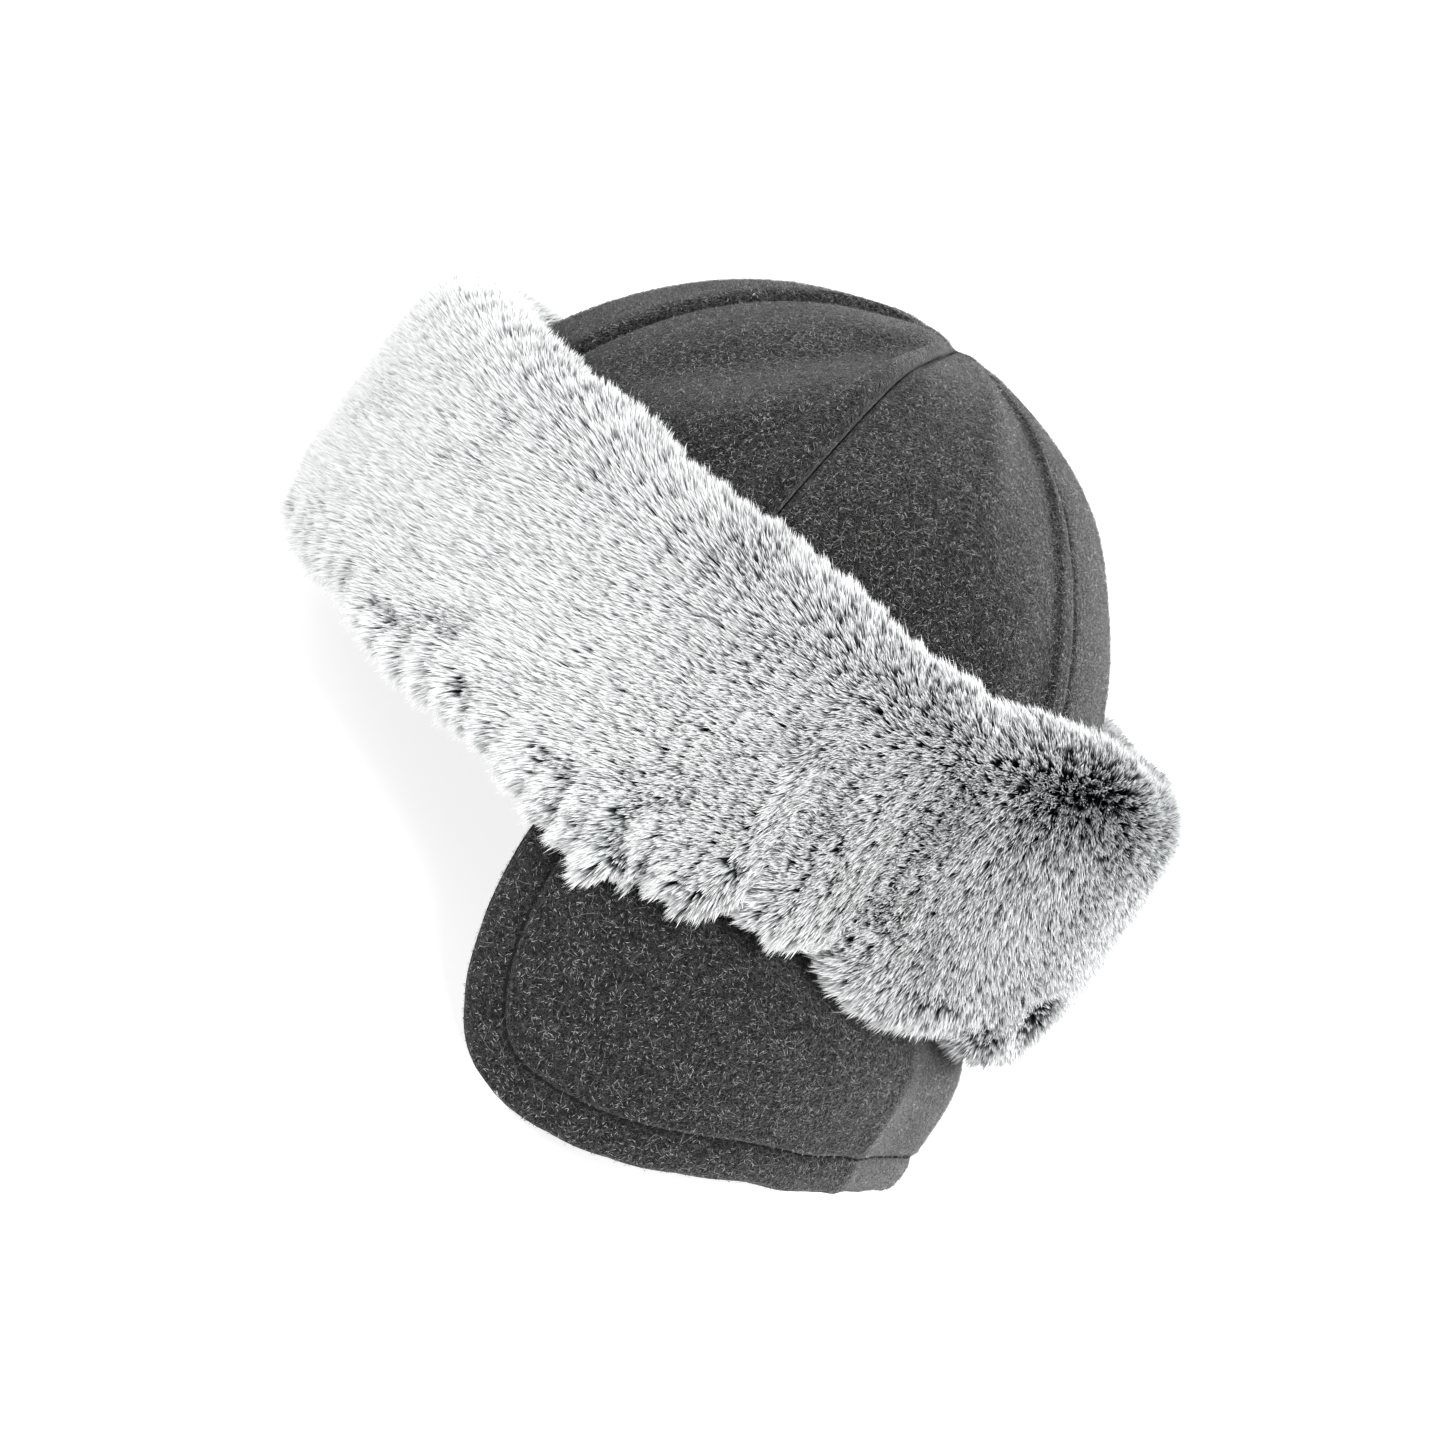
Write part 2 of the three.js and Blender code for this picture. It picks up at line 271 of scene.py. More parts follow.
def lattice_noise(points, size, seed):
    """Smooth noise from -1 to 1, whose humps are about size mm across."""
    table = np.random.default_rng(seed).uniform(-1, 1, NOISE_TABLE)
    p = np.asarray(points, float) / size
    cell = np.floor(p).astype(int)
    f = p - cell
    f = f * f * (3 - 2 * f)
    total = 0
    for corner in range(8):
        step = np.array([corner & 1, (corner >> 1) & 1, corner >> 2])
        at = cell + step
        key = (at[..., 0] * HASH_X) ^ (at[..., 1] * HASH_Y) ^ (at[..., 2] * HASH_Z)
        weight = np.prod(np.where(step == 1, f, 1 - f), axis=-1)
        total = total + weight * table[key % NOISE_TABLE]
    return total


# Meshes

def mesh_object(name, points, faces):
    """A smooth-shaded mesh, laid down as the cap lies and kept above the table."""
    mesh = bpy.data.meshes.new(name)
    placed = laid_down(points).reshape(-1, 3)
    placed[:, 2] = np.maximum(placed[:, 2], 0)
    mesh.from_pydata(placed.tolist(), [], faces)
    mesh.validate()
    mesh.shade_smooth()
    ob = bpy.data.objects.new(name, mesh)
    bpy.context.scene.collection.objects.link(ob)
    return ob


def grid_faces(rows, columns, start=0, flip=False, wrap=False):
    """The faces between the points of a grid, which may close on itself across its columns."""
    faces = []
    for i in range(rows - 1):
        for j in range(columns if wrap else columns - 1):
            k = (j + 1) % columns
            a, b = start + i * columns + j, start + i * columns + k
            c, d = start + (i + 1) * columns + k, start + (i + 1) * columns + j
            faces.append((a, d, c, b) if flip else (a, b, c, d))
    return faces


def sheet_object(name, outer, inner):
    """A cloth wall from an outer and an inner grid of points, closed round its edge."""
    rows, columns = outer.shape[:2]
    size = rows * columns
    points = np.concatenate([outer.reshape(-1, 3), inner.reshape(-1, 3)])
    faces = grid_faces(rows, columns) + grid_faces(rows, columns, size, flip=True)
    for j in range(columns - 1):
        top = (rows - 1) * columns + j
        faces.append((j, size + j, size + j + 1, j + 1))
        faces.append((top, top + 1, size + top + 1, size + top))
    for i in range(rows - 1):
        a, b = i * columns, (i + 1) * columns
        faces.append((a, b, size + b, size + a))
        c, d = a + columns - 1, b + columns - 1
        faces.append((c, size + c, size + d, d))
    return mesh_object(name, points, faces)


# Crown

def gore_place(t):
    """Where an angle lies among the seams: 2.5 is halfway between the third seam and the fourth."""
    return np.interp(np.degrees(t) % 360, SEAM_ANGLES, range(len(SEAM_ANGLES)))


def gore_puff(t, height):
    """How far a gore stands out between its seams."""
    across = gore_place(t)
    from_middle = np.abs(2 * (across - np.floor(across)) - 1)
    shown = smooth_step(PUFF_START_HEIGHT, PUFF_FULL_HEIGHT, height)
    return GORE_PUFF * shown * (1 - from_middle ** GORE_PUFF_SQUARENESS)


def seam_relief(t, height, girth):
    """The sewn groove at each seam and the raised strip of turned cloth on one side of it."""
    reach = girth * math.hypot(CROWN_HALF_WIDTH, CROWN_HALF_LENGTH) / math.sqrt(2)
    nearest = np.asarray(SEAM_ANGLES)[np.round(gore_place(t)).astype(int)]
    away = np.radians((np.degrees(t) - nearest + 180) % 360 - 180) * reach
    groove = -SEAM_GROOVE_DEPTH * bump_at(away, 0, SEAM_GROOVE_WIDTH) * smooth_step(0.02, 0.12, girth)
    width = ALLOWANCE_WIDTH * np.clip(girth * 1.3, 0.15, 1)
    edge = smooth_step(-1.12, -0.88, away / width)
    bead = SEAM_BEAD_HEIGHT * bump_at(away, SEAM_BEAD_PLACE, SEAM_BEAD_WIDTH)
    strip = (ALLOWANCE_HEIGHT * edge + bead) * (1 - smooth_step(-0.3, 0.3, away / 3))
    shown = smooth_step(20, 50, height)
    return groove * shown + strip * shown * smooth_step(0.0, 0.22, girth)


def crown_folds(t, height):
    """How far the soft folds stand out. The value h is 0 at the foot of the dome and 1 at its top."""
    a = wrapped_degrees(t)
    h = (height - CROWN_WALL_HEIGHT) / CROWN_DOME_HEIGHT
    slant = -64 - 52 * (1 - h) ** 0.9
    ridge = RIDGE_HEIGHT * bump_at(a, slant + 6, 8) * smooth_step(0.3, 0.6, h)
    ridge = ridge * (1 - smooth_step(0.86, 1, h))
    valley = -VALLEY_DEPTH * bump_at(a, slant - 11, 8) * smooth_step(0.35, 0.6, h)
    valley = valley * (1 - smooth_step(0.9, 1, h))
    beside = -SEAM_VALLEY_DEPTH * bump_at(a, -48, 4.5) * (1 - smooth_step(0.45, 0.75, h))
    middle = MIDDLE_FOLD_HEIGHT * bump_at(a, -34 + 20 * (h - 0.7), 7) * bump_at(h, 0.82, 0.15)
    shoulder = SHOULDER_SWELL * bump_at(h, 0.84, 0.1) - SHOULDER_SINK * bump_at(h, 0.42, 0.2)
    shoulder = bump_at(a, 38, 34) * shoulder
    back = BACK_SWELL * bump_at(a, -143, 30) * bump_at(h, 0.25, 0.2)
    back = back - BACK_SINK * bump_at(a, -143, 40) * bump_at(h, 0.8, 0.25)
    dimple = -APEX_DIMPLE * bump_at(h, 1, 0.006)
    folds = ridge + valley + beside + middle + shoulder + back
    return folds * (1 - smooth_step(0.95, 1, h)) + dimple


def crown_surface(t, v, inside=0.0, detail=True):
    """A point of the crown: v runs from 0 at the rim to 1 at the apex."""
    t, v = np.broadcast_arrays(np.asarray(t, float), np.asarray(v, float))
    h = np.sin(np.clip((v - CROWN_WALL_SHARE) / (1 - CROWN_WALL_SHARE), 0, 1) * 0.5 * math.pi)
    girth = np.maximum(1 - h * h, 0) ** DOME_ROUNDNESS
    low = np.clip(v / CROWN_WALL_SHARE, 0, 1) * CROWN_WALL_HEIGHT
    height = np.where(v <= CROWN_WALL_SHARE, low, CROWN_WALL_HEIGHT + CROWN_DOME_HEIGHT * h)
    proud = gore_puff(t, height) - inside
    if detail:
        proud = proud + seam_relief(t, height, girth) + crown_folds(t, height)
        waves = lattice_noise(ring_point(t, 0, height) * girth[..., None], FELT_WAVE_SIZE, 3)
        proud = proud + FELT_WAVE_HEIGHT * waves * smooth_step(40, 70, height)
    x = (CROWN_HALF_WIDTH + proud) * girth * np.sin(t)
    y = -(CROWN_HALF_LENGTH + proud) * girth * np.cos(t)
    return np.stack([x, y, height + proud * h ** 3], -1)


def crown_gore(index):
    """One gore. Its columns crowd towards the seams, whose gaps are narrower inside."""
    start, end = np.radians(SEAM_ANGLES[index:index + 2])
    even = np.linspace(0, 1, GORE_COLUMNS + 1)
    share = (1 - GORE_CROWDING) * even + GORE_CROWDING * (0.5 - 0.5 * np.cos(math.pi * even))
    v = np.linspace(0, GORE_TOP, GORE_ROWS + 1)[:, None]
    middle = start + (end - start) * share[None, :]
    reach = crown_surface(middle, v, 0.0, False)
    trim = np.minimum(SEAM_GAP / 2 / np.hypot(reach[..., 0], reach[..., 1]), 0.25)
    closed = SEAM_GAP_INSIDE * trim
    outer = crown_surface(np.clip(middle, start + trim, end - trim), v)
    inner = crown_surface(np.clip(middle, start + closed, end - closed), v, FELT_THICKNESS)
    return sheet_object(f"crown_gore_{index + 1}", outer, inner)


# Fur cuff

def ear_dip(t):
    """How much lower the cuff's lower edge lies over the ears."""
    angle = np.abs(wrapped_degrees(t))
    return EAR_DIP * bump_at(angle, EAR_ANGLE, EAR_SPREAD)


def peak_flare(t, drop):
    """How far the peak stands out from the crown's wall, by how far below the rim it is."""
    angle = np.abs(wrapped_degrees(t))
    fade = 1 - smooth_step(PEAK_HALF_ANGLE, PEAK_HALF_ANGLE + PEAK_FLARE_FADE, angle)
    full = PEAK_FRONT_FLARE * np.cos(t) ** 2 + PEAK_SIDE_FLARE * np.sin(t) ** 2
    return full * fade * (1 - np.exp(-np.maximum(drop, 0) / PEAK_FLARE_DEPTH))


def root_section(t):
    """The skin that the pile grows from, from the cuff's inner top edge round to its lower edge.
    Returns how far out and how high each point is, with one row for each value of t."""
    angle = wrapped_degrees(t)
    scallop = np.cos(np.radians(angle + 54) * 10)
    low = BAND_BOTTOM + FUR_EDGE_RISE + ROOT_ABOVE_BOTTOM - ear_dip(t) - SCALLOP_HEIGHT * scallop
    for place, width, rise in LOW_EDGE_LOCKS:
        low = low + rise * bump_at(angle, place, width)
    top = BAND_TOP - FUR_EDGE_RISE - ROOT_BELOW_TOP + TOP_RIPPLE * np.cos(t * 17)
    for place, width, rise in TOP_EDGE_LOCKS:
        top = top + rise * bump_at(angle, place, width)
    top = top + FRONT_RISE * smooth_step(-22, -10, angle) * (1 - smooth_step(2, 24, angle))
    one = np.ones_like(t)
    inner = np.maximum(peak_flare(t, -low) + 1.5, 3)
    deep = ROOT_DEPTH
    for place in (-150, 210):
        deep = deep + BACK_FULLNESS * bump_at(angle, place, 36)
    bulge = SIDE_FULLNESS * bump_at(angle, 32, 16)
    profile = [
        (one * -2.5, top - 6),
        (one * 0.5, top - 1),
        (one * 5, top + 0.5),
        (deep - 6, top),
        (deep - 2, top - 4),
        (deep - 0.4, top - 12),
        (deep + 0.5 * bulge, top - 26),
        (deep + bulge, one * 22),
        (deep + 0.5 * bulge, low + 12),
        (deep - 1, low + 4),
        (deep - 4, low + 0.5),
        (np.minimum(inner + 1.5, deep - 5.5), low + 0.2),
    ]
    out, up = zip(*profile)
    return np.stack(out, -1), np.stack(up, -1)


def skin_point(t, q):
    """A point of the skin: q runs from 0 at the inner top edge to 1 at the lower edge."""
    out, up = root_section(t)
    length = np.hypot(np.diff(out, axis=-1), np.diff(up, axis=-1))
    run = np.concatenate([np.zeros((len(t), 1)), np.cumsum(length, -1)], -1)
    want = q * run[:, -1]
    index = np.clip((run <= want[:, None]).sum(-1) - 1, 0, out.shape[-1] - 2)
    rows = np.arange(len(t))
    k = (want - run[rows, index]) / np.maximum(run[rows, index + 1] - run[rows, index], 1e-6)
    n = out[rows, index] + k * (out[rows, index + 1] - out[rows, index])
    z = up[rows, index] + k * (up[rows, index + 1] - up[rows, index])
    return ring_point(t, n, z)


def skin_frame(t, q):
    """A point of the skin, the way out from it, the way round the cap and the way down the cuff."""
    step_t, step_q = 0.01, 0.03
    at = skin_point(t, q)
    around = unit(skin_point(t + step_t, q) - skin_point(t - step_t, q))
    down = skin_point(t, np.clip(q + step_q, 0, 1)) - skin_point(t, np.clip(q - step_q, 0, 1))
    down = unit(down - around * np.sum(down * around, -1, keepdims=True))
    return at, np.cross(down, around), around, down


def fur_skin():
    """The cuff's backing cloth: a closed ring, dark as the pile is at its roots."""
    t = np.linspace(0, 2 * math.pi, BAND_STATIONS, endpoint=False)
    out, up = root_section(t)
    wall_out, wall_up = [], []
    for height in WALL_HEIGHTS:
        h = max(0.0, (height - CROWN_WALL_HEIGHT) / CROWN_DOME_HEIGHT)
        girth = (1 - h * h) ** DOME_ROUNDNESS
        reach = np.hypot(CROWN_HALF_WIDTH * np.sin(t), CROWN_HALF_LENGTH * np.cos(t))
        wall_out.append(gore_puff(t, height) - (1 - girth) * reach + WALL_CLEARANCE)
        wall_up.append(np.full_like(t, height))
    low = up[:, -1]
    rim_up = [0.66 * low, 0.33 * low]
    rim_out = [peak_flare(t, PEAK_TOP - z + 0.6) + 1.4 for z in rim_up]
    out = np.concatenate([out, np.stack(rim_out + wall_out, -1)], -1)
    up = np.concatenate([up, np.stack(rim_up + wall_up, -1)], -1)
    points = ring_point(t[:, None], out, up)
    size = out.shape[1]
    faces = []
    for i in range(len(t)):
        k = (i + 1) % len(t)
        for j in range(size):
            m = (j + 1) % size
            faces.append((i * size + j, i * size + m, k * size + m, k * size + j))
    return mesh_object("fur_skin", points, faces)


def clump_places():
    """Where each clump of pile stands: its angle and its place down the cuff. The clumps stand in
    rows that are set off by half a clump, 0.87 of their spacing apart."""
    t_fine = np.linspace(0, 2 * math.pi, 721)
    rim = ring_point(t_fine, ROOT_DEPTH, 30.0)
    arc = np.concatenate([[0], np.cumsum(np.linalg.norm(np.diff(rim, axis=0), axis=1))])
    rows = int(SKIN_LENGTH / (CLUMP_SPACING * 0.87))
    columns = int(arc[-1] / CLUMP_SPACING)
    places = []
    for row in range(rows):
        q = (row + 0.5) / rows
        along = (np.arange(columns) + 0.5 * (row % 2)) / columns * arc[-1]
        along = along + rng.normal(0, CLUMP_SCATTER * CLUMP_SPACING, columns)
        t = np.interp(along % arc[-1], arc, t_fine)
        places.append(np.stack([t, q + rng.normal(0, 0.3 / rows, columns)], -1))
    places = np.concatenate(places)
    places[:, 1] = np.clip(places[:, 1], 0.0, 1.0)
    return places


def tuft_pull(places, size, seed):
    """How far, and which way, the nearest tuft's middle lies from each place."""
    table = np.random.default_rng(seed).uniform(-0.42, 0.42, (NOISE_TABLE, 2))
    place = places / size
    cell = np.floor(place).astype(int)
    pull = np.full(place.shape, 9.0)
    for step in range(9):
        at = cell + np.array([step % 3 - 1, step // 3 - 1])
        key = (at[:, 0] * HASH_X) ^ (at[:, 1] * HASH_Y)
        to_middle = at + 0.5 + table[key % NOISE_TABLE] - place
        nearer = np.linalg.norm(to_middle, axis=-1) < np.linalg.norm(pull, axis=-1)
        pull[nearer] = to_middle[nearer]
    return pull * size


def offset_from(angle, q, centre_angle, centre_place):
    """How far places are from a centre, in millimetres round the cap and down the cuff."""
    return CUFF_MM_PER_DEGREE * (angle - centre_angle), SKIN_LENGTH * (q - centre_place)


def pile_growth(t, q):
    """How the pile grows at places on the skin: where and which ways it goes, and its shade, painted
    shade included.
    """
    at, out, around, down = skin_frame(t, q)
    angle = wrapped_degrees(t)
    wave = lattice_noise(at, 14, 21)
    fine = lattice_noise(at, 5, 23)
    arc = CUFF_RADIUS * np.radians(angle)
    rows = np.sin(2 * math.pi * arc / ROW_PITCH + 5 * lattice_noise(at, 15, 25) + 1.5 * fine)
    rows = rows * (0.3 + 0.7 * bump_at(angle, -22, 38))
    tufts = 2 * math.pi * arc / TUFT_PITCH + 2.4 * lattice_noise(at, 9, 27)

    # Parts of the cuff: its edges, its upper half, the side that is opened up and the front
    edge_up = 1 - smooth_step(0.16, 0.42, q)
    edge_down = smooth_step(0.70, 0.95, q)
    upper = 1 - smooth_step(0.3, 0.6, q)
    ragged = edge_down + 0.5 * edge_up
    open_side = smooth_step(-85, -22, angle) * (1 - smooth_step(50, 90, angle))
    facing = bump_at(angle, 3, 16)
    turned_over = TURNED_OVER_LEAN * bump_at(angle, -16, 13)

    # Hairs draw together in small tufts, with gaps between them
    pull = tuft_pull(np.stack([arc, q * SKIN_LENGTH], -1), TUFT_SIZE, 31)
    outskirt = np.clip(np.linalg.norm(pull, axis=-1) / (0.62 * TUFT_SIZE), 0, 1) ** 2
    clumping = 0.15 + 0.37 * open_side + 0.2 * edge_up + 0.15 * edge_down + 0.25 * facing

    # The hollow, round which the pile is pushed aside, and small gaps near the lower edge
    beyond, under = offset_from(angle, q, HOLLOW_ANGLE, HOLLOW_PLACE)
    off = np.hypot(beyond, under)
    hollow = bump_at(off, 0, HOLLOW_SIZE)
    opened = 3.0 * bump_at(off, HOLLOW_SIZE, 0.6 * HOLLOW_SIZE) / np.maximum(off, 1)
    gaps = 0.8 * smooth_step(0.3, 0.65, lattice_noise(at, 7, 26)) * smooth_step(0.6, 0.8, q)
    parted = hollow + gaps

    # The comb turns down at the lower edge, up at the upper edge, and both ways at the parting
    turn = 0.75 * edge_down - 0.6 * edge_up + 0.16 * lattice_noise(at, 22, 22) + 0.12 * fine + 0.1
    turn = turn + rng.normal(0, 0.12, len(t))
    across, along = offset_from(angle, q, PARTING_ANGLE, PARTING_PLACE)
    turn = turn + 0.8 * np.tanh(along / 14) * bump_at(across, 0, 60) * (1 - edge_down)
    away = np.hypot(across, along)

    # The shade: 1 is white for most of a hair's length, 0 is dark for most of it. Beside each hair's
    # own random tone, it holds painted shade, as said below.
    # Dark patches: a random tone, with painted shade between the rows, along the upper edge and at the
    # front
    tone_and_painted_shade = lattice_noise(at, 11, 24) + 0.4 * fine - 0.2 * rows + 0.35 * edge_up + 0.2 * facing
    dark = smooth_step(0.15, 0.7, tone_and_painted_shade)
    # Painted shade on the upper half, in the gaps near the lower edge, deepest in the hollow, and
    # round the parting
    shade = 0.96 - 0.38 * dark - 0.23 * upper - 0.5 * parted - 0.9 * hollow
    shade = shade - 0.2 * bump_at(away, 0, PARTING_SIZE)
    # Painted shade at the far right, and a narrow band round -22 degrees painted lighter
    shade = shade - 0.25 * bump_at(angle, 30, 14) + 0.14 * bump_at(angle, -22, 7)
    # Painted shade in the gaps between tufts: hairs at a tuft's outskirts are darker, most of all on
    # the open side and at the front; the open side is also a little darker all over
    depth = 0.08 + 0.55 * open_side + (0.54 - 0.2 * upper) * facing
    shade = shade - 0.03 * open_side - depth * outskirt

    # The lean, and how long the hairs are beside their usual length
    lean = FUR_LEAN + 6 * wave + 6 * fine + 5 * rows + turned_over
    scale = 1 + 0.06 * wave + 0.05 * rows - 0.45 * parted - 0.35 * hollow
    scale = scale + 0.16 * ragged * np.cos(tufts) - 0.12 * open_side * outskirt
    return {
        "at": at,
        "out": out,
        "around": around,
        "down": down,
        "comb": unit(-around * np.cos(turn)[:, None] + down * np.sin(turn)[:, None]),
        "lean": np.radians(lean * (1 - 0.08 * open_side)),
        "scale": scale,
        "bunch": -1.1 * np.sin(tufts) * ragged,
        "pull": pull * clumping[:, None] + np.stack([beyond, under], -1) * opened[:, None],
        "gather": 0.8 + 0.2 * open_side,
        "shade": shade,
    }


def grown(growth, index, length, spread):
    """Root, middle and tip of single hairs, each in the clump that index gives."""
    count = len(index)
    pick = {key: value[index] for key, value in growth.items()}
    offset = rng.normal(0, spread, (count, 2))
    aside = pick["around"] * offset[:, :1] + pick["down"] * offset[:, 1:]
    lean = (pick["lean"] + rng.normal(0, LEAN_SPREAD, count))[:, None]
    way = unit(pick["comb"] + rng.normal(0, LEAN_SPREAD, (count, 3)))
    reach = (length * pick["scale"] * rng.uniform(*LENGTH_SPREAD, count))[:, None]
    gather = rng.uniform(*GATHER_SPREAD, count)[:, None] * pick["gather"][:, None]
    root = pick["at"] + aside - pick["out"] * ROOT_SINK
    straight = way * np.sin(lean) + pick["out"] * np.cos(lean)
    first = way * np.sin(lean - HAIR_BEND) + pick["out"] * np.cos(lean - HAIR_BEND)
    moved = pick["around"] * (pick["bunch"] + pick["pull"][:, 0])[:, None] - aside * gather
    moved = moved + pick["down"] * pick["pull"][:, 1:]
    tip = root + straight * reach + moved
    bend = root + first * reach * 0.6 + moved * 0.5
    side = unit(np.cross(tip - root, pick["out"]))
    roll = rng.normal(0, 0.8, count)[:, None]
    width = side * np.cos(roll) + np.cross(unit(tip - root), side) * np.sin(roll)
    shade = np.clip(pick["shade"] + rng.normal(0, SHADE_SPREAD, count), 0.02, 0.98)
    return root, bend, tip, width, shade


def kept_above_table(points):
    """Hairs that would reach below the table lie along it instead. The points are in metres."""
    low = points[..., 2] < LOWEST_HAIR
    depth = np.where(low, LOWEST_HAIR - points[..., 2], 0)
    points = points.copy()
    points[..., 2] += depth
    points[..., 1] += depth * LYING_SHIFT
    points[..., 2] += np.where(low, LYING_LAYER * np.abs(np.sin(points[..., 0] * LYING_RIPPLES)), 0)
    return points


def hair_mesh(name, corners, along, triangles, shade, material):
    """One piece of many hairs. Each has the same few corners, joined as the triangles say.
    The bake map holds each hair's shade, and how far along the hair a corner is."""
    count, size = corners.shape[:2]
    points = kept_above_table(laid_down(corners)).reshape(-1, 3)
    joined = (np.arange(count)[:, None, None] * size + np.array(triangles)).reshape(-1)
    mesh = bpy.data.meshes.new(name)
    mesh.vertices.add(count * size)
    mesh.vertices.foreach_set("co", points.astype(np.float32).ravel())
    mesh.loops.add(len(joined))
    mesh.loops.foreach_set("vertex_index", joined.astype(np.int32))
    mesh.polygons.add(count * len(triangles))
    mesh.polygons.foreach_set("loop_start", np.arange(0, len(joined), 3, dtype=np.int32))
    mesh.update(calc_edges=True)
    uv = np.stack([np.repeat(shade, size), np.tile(along, count)], -1)[joined]
    layer = mesh.uv_layers.new(name="OFBake")
    layer.data.foreach_set("uv", uv.astype(np.float32).ravel())
    mesh.materials.append(material)
    ob = bpy.data.objects.new(name, mesh)
    bpy.context.scene.collection.objects.link(ob)
    return ob


def straight_hairs(name, root, tip, width, shade, material):
    """Hairs of one triangle each, pointed at both ends and widest towards the tip."""
    widest = root + (tip - root) * HAIR_WIDEST + width
    corners = np.stack([root, widest, tip], 1)
    return hair_mesh(name, corners, [0.0, HAIR_WIDEST, 1.0], [[0, 1, 2]], shade, material)


def bent_hairs(name, root, bend, tip, width, shade, material):
    """Hairs that are pointed at both ends and bent at their widest."""
    corners = np.stack([root, bend - 0.5 * width, bend + 0.5 * width, tip], 1)
    along = [0.0, GUARD_HAIR_WIDEST, GUARD_HAIR_WIDEST, 1.0]
    return hair_mesh(name, corners, along, [[0, 2, 1], [1, 2, 3]], shade, material)


def fur_pieces(material):
    """The pile in a few sectors round the cap, each a piece of short hairs and one of guard hairs."""
    places = clump_places()
    growth = pile_growth(places[:, 0], places[:, 1])
    turns = (places[:, 0] % (2 * math.pi)) / (2 * math.pi)
    sector = np.floor(turns * FUR_SECTORS).astype(int)
    pieces = []
    for number in range(FUR_SECTORS):
        clumps = np.where(sector == number)[0]
        index = np.repeat(clumps, HAIRS_PER_CLUMP)
        root, bend, tip, width, shade = grown(growth, index, HAIR_LENGTH, CLUMP_SPREAD * CLUMP_SPACING)
        name = f"fur_pile_{number + 1}"
        pieces.append(straight_hairs(name, root, tip, width * HAIR_WIDTH, shade, material))
        chosen = rng.choice(clumps, GUARD_HAIRS // FUR_SECTORS, replace=False)
        root, bend, tip, width, shade = grown(growth, chosen, GUARD_HAIR_LENGTH, GUARD_HAIR_SPREAD)
        name = f"fur_guard_hairs_{number + 1}"
        pieces.append(bent_hairs(name, root, bend, tip, width * GUARD_HAIR_WIDTH, shade, material))
    return pieces


# Peak

def peak_drop(s):
    """How far the free edge drops. The value s runs from -1 at the right end to 1 at the left end."""
    def drop_with(corner):
        to_corner = np.clip(np.abs(s) / corner["place"], 0, 1)
        rise = np.sin(0.5 * math.pi * to_corner) ** corner["lateness"]
        full = PEAK_FRONT_DROP + (corner["drop"] - PEAK_FRONT_DROP) * rise
        reach = (np.abs(s) - corner["place"]) / (1 - corner["place"])
        k = np.clip(reach, 0, 1) * PEAK_SIDE_FRACTION
        return full * np.sqrt(1 - k ** PEAK_CORNER_ROUNDNESS)
    return np.where(s < 0, drop_with(PEAK_RIGHT_CORNER), drop_with(PEAK_LEFT_CORNER))


def peak_sag(s):
    """Where the free edge hangs lower by the front and draws up beyond it."""
    angle = s * PEAK_HALF_ANGLE
    return bump_at(angle, -6, 7) - 0.4 * bump_at(angle, 18, 7)


def peak_crease(s, drop):
    """The fold by the middle of the peak, beyond which the cloth turns away."""
    angle = s * PEAK_HALF_ANGLE
    turned = np.clip((angle - PEAK_FOLD_ANGLE) / 7, 0, 1) * (1 - smooth_step(11, 24, angle))
    fold = -PEAK_FOLD_DEPTH * turned * smooth_step(0, 5, drop)
    fold = fold * (1 - 0.6 * smooth_step(15, 45, drop))
    lip = PEAK_LIP_HEIGHT * bump_at(angle, 1.2, 1.6) * smooth_step(4, 14, drop)
    return fold + lip


def peak_surface(s, f, detail=True):
    """A point of the peak's outer face: f runs from its sewn top to its free edge."""
    s, f = np.broadcast_arrays(np.asarray(s, float), np.asarray(f, float))
    t = np.radians(s * PEAK_HALF_ANGLE)
    drop = (peak_drop(s) + PEAK_FRONT_SAG * peak_sag(s)) * f
    n = peak_flare(t, drop)
    if detail:
        n = n + peak_crease(s, drop)
    return ring_point(t, n, PEAK_TOP - drop)


def peak_edge(count=400):
    """Points along the free edge, from one end round both corners to the other end."""
    s = np.sin(np.linspace(-0.5, 0.5, count) * math.pi)
    low = peak_surface(s, 1.0)
    side = np.linspace(0, 1, 20)
    return np.concatenate([peak_surface(-1.0, side), low, peak_surface(1.0, side[::-1])])


def distance_to_edge(points, edge):
    """How far each point is from the nearest point of the edge."""
    gaps = [np.linalg.norm(points - e, axis=-1) for e in edge]
    return np.min(gaps, axis=0)


def surface_normals(grid):
    """The ways out from a grid of points."""
    up = np.gradient(grid, axis=0)
    along = np.gradient(grid, axis=1)
    return unit(np.cross(along, up))


def peak_grids():
    """The peak's outer and inner grids of points, with the stitch's groove and the rounded edge.
    The rows crowd towards the free edge."""
    s = np.sin(np.linspace(-0.5, 0.5, PEAK_COLUMNS + 1) * math.pi)[None, :]
    f = 1 - np.linspace(0, 1, PEAK_ROWS + 1)[:, None] ** 1.2
    outer = peak_surface(s, f)
    normals = surface_normals(outer)
    gap = distance_to_edge(outer, peak_edge())
    groove = -STITCH_GROOVE * bump_at(gap, STITCH_INSET, STITCH_GROOVE_WIDTH)
    cushion = CUSHION_HEIGHT * bump_at(gap, STITCH_INSET * 0.5, CUSHION_WIDTH)
    rounding = 1 - np.clip(gap / (0.5 * PEAK_THICKNESS), 0, 1)
    round_off = 0.5 * PEAK_THICKNESS * (1 - np.sqrt(1 - rounding ** 2))
    inner = outer - normals * (PEAK_THICKNESS - round_off * EDGE_ROUNDING)[..., None]
    outer = outer + normals * (groove + cushion - round_off * EDGE_ROUNDING)[..., None]
    return outer, inner


def peak_piece():
    outer, inner = peak_grids()
    return sheet_object("peak_felt", outer, inner)


